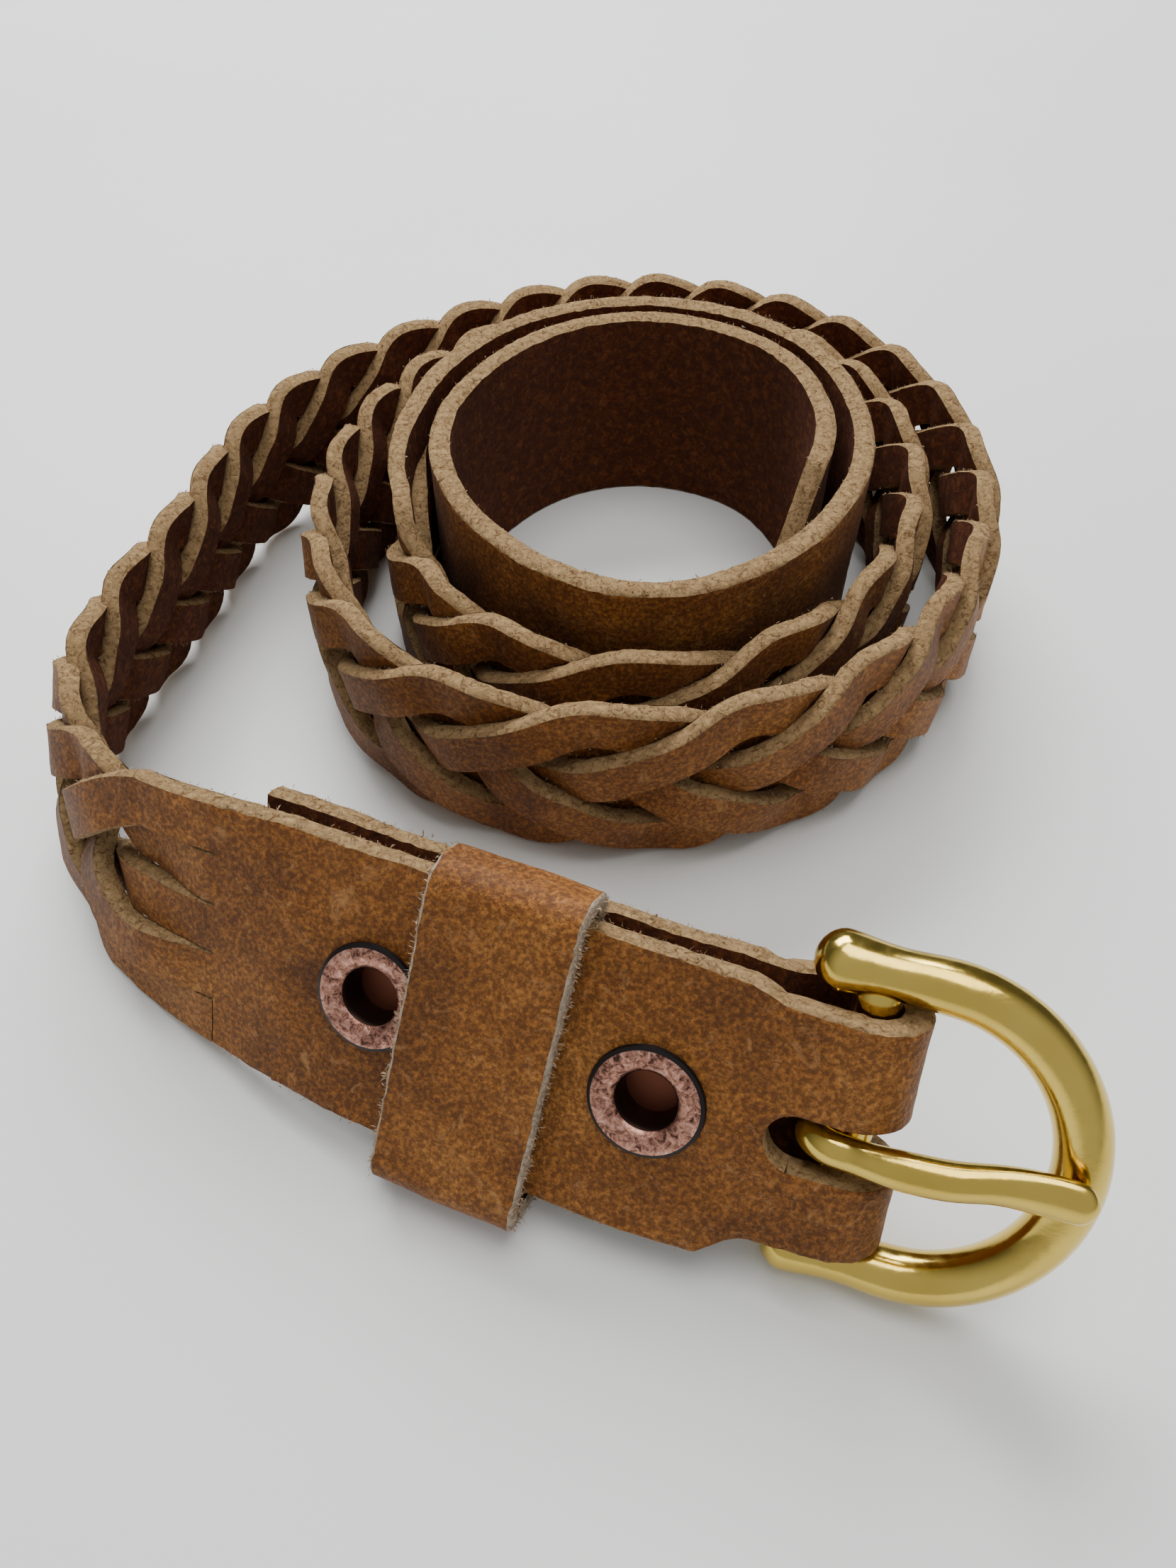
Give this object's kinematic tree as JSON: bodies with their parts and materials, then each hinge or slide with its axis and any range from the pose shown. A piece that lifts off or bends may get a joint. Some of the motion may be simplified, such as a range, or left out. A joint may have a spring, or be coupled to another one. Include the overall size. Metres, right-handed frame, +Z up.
{
  "type": "braided leather belt",
  "caption": "Coiled braided leather belt: solid strap ends, heel-bar buckle with a tongue, press studs and a leather keeper loop.",
  "frame": {"origin": "centre of the coiled belt's outline at the table it stands on", "axes": "+Z up, across the strap's width; -Y towards the buckle and snaps; +X towards the buckle along the outer end of the strap"},
  "size_m": [0.1586, 0.1984, 0.0424],
  "materials": {
    "leather_tip": "satin",
    "leather_strand_1": "satin",
    "leather_strand_2": "satin",
    "leather_strand_3": "satin",
    "leather_strand_4": "satin",
    "leather_strand_5": "satin",
    "leather_buckle_end": "satin",
    "copper_eyelet_1": "antiqued",
    "copper_stud_1": "antiqued",
    "copper_socket_1": "antiqued",
    "copper_cap_1": "antiqued",
    "copper_eyelet_2": "antiqued",
    "copper_stud_2": "antiqued",
    "copper_socket_2": "antiqued",
    "copper_cap_2": "antiqued",
    "leather_keeper": "satin",
    "brass_frame": "polished",
    "brass_tongue": "polished"
  },
  "bodies": {
    "belt": {"tip_strap": "leather_tip", "strand_1": "leather_strand_1", "strand_2": "leather_strand_2", "strand_3": "leather_strand_3", "strand_4": "leather_strand_4", "strand_5": "leather_strand_5", "buckle_end_strap": "leather_buckle_end", "snap_eyelet_1": "copper_eyelet_1", "snap_stud_1": "copper_stud_1", "snap_socket_1": "copper_socket_1", "snap_cap_1": "copper_cap_1", "snap_eyelet_2": "copper_eyelet_2", "snap_stud_2": "copper_stud_2", "snap_socket_2": "copper_socket_2", "snap_cap_2": "copper_cap_2"},
    "keeper": {"keeper_loop": "leather_keeper"},
    "buckle": {"buckle_frame": "brass_frame"},
    "tongue": {"buckle_tongue": "brass_tongue"}
  },
  "joints": [
    {"name": "buckle_swing", "type": "hinge", "parent": "belt", "child": "buckle", "pos_m": [0.0374, -0.08225, 0.02003], "axis": [-0.1063, -0.5062, -0.8558], "range_deg": [0, 25]},
    {"name": "tongue_swing", "type": "hinge", "parent": "buckle", "child": "tongue", "pos_m": [0.0374, -0.08225, 0.02003], "axis": [-0.1063, -0.5062, -0.8558], "range_deg": [0, 65]},
    {"name": "keeper_slide", "type": "slide", "parent": "belt", "child": "keeper", "axis": [0.927, -0.375, 0.006], "range_m": [0, 0.0055]}
  ]
}
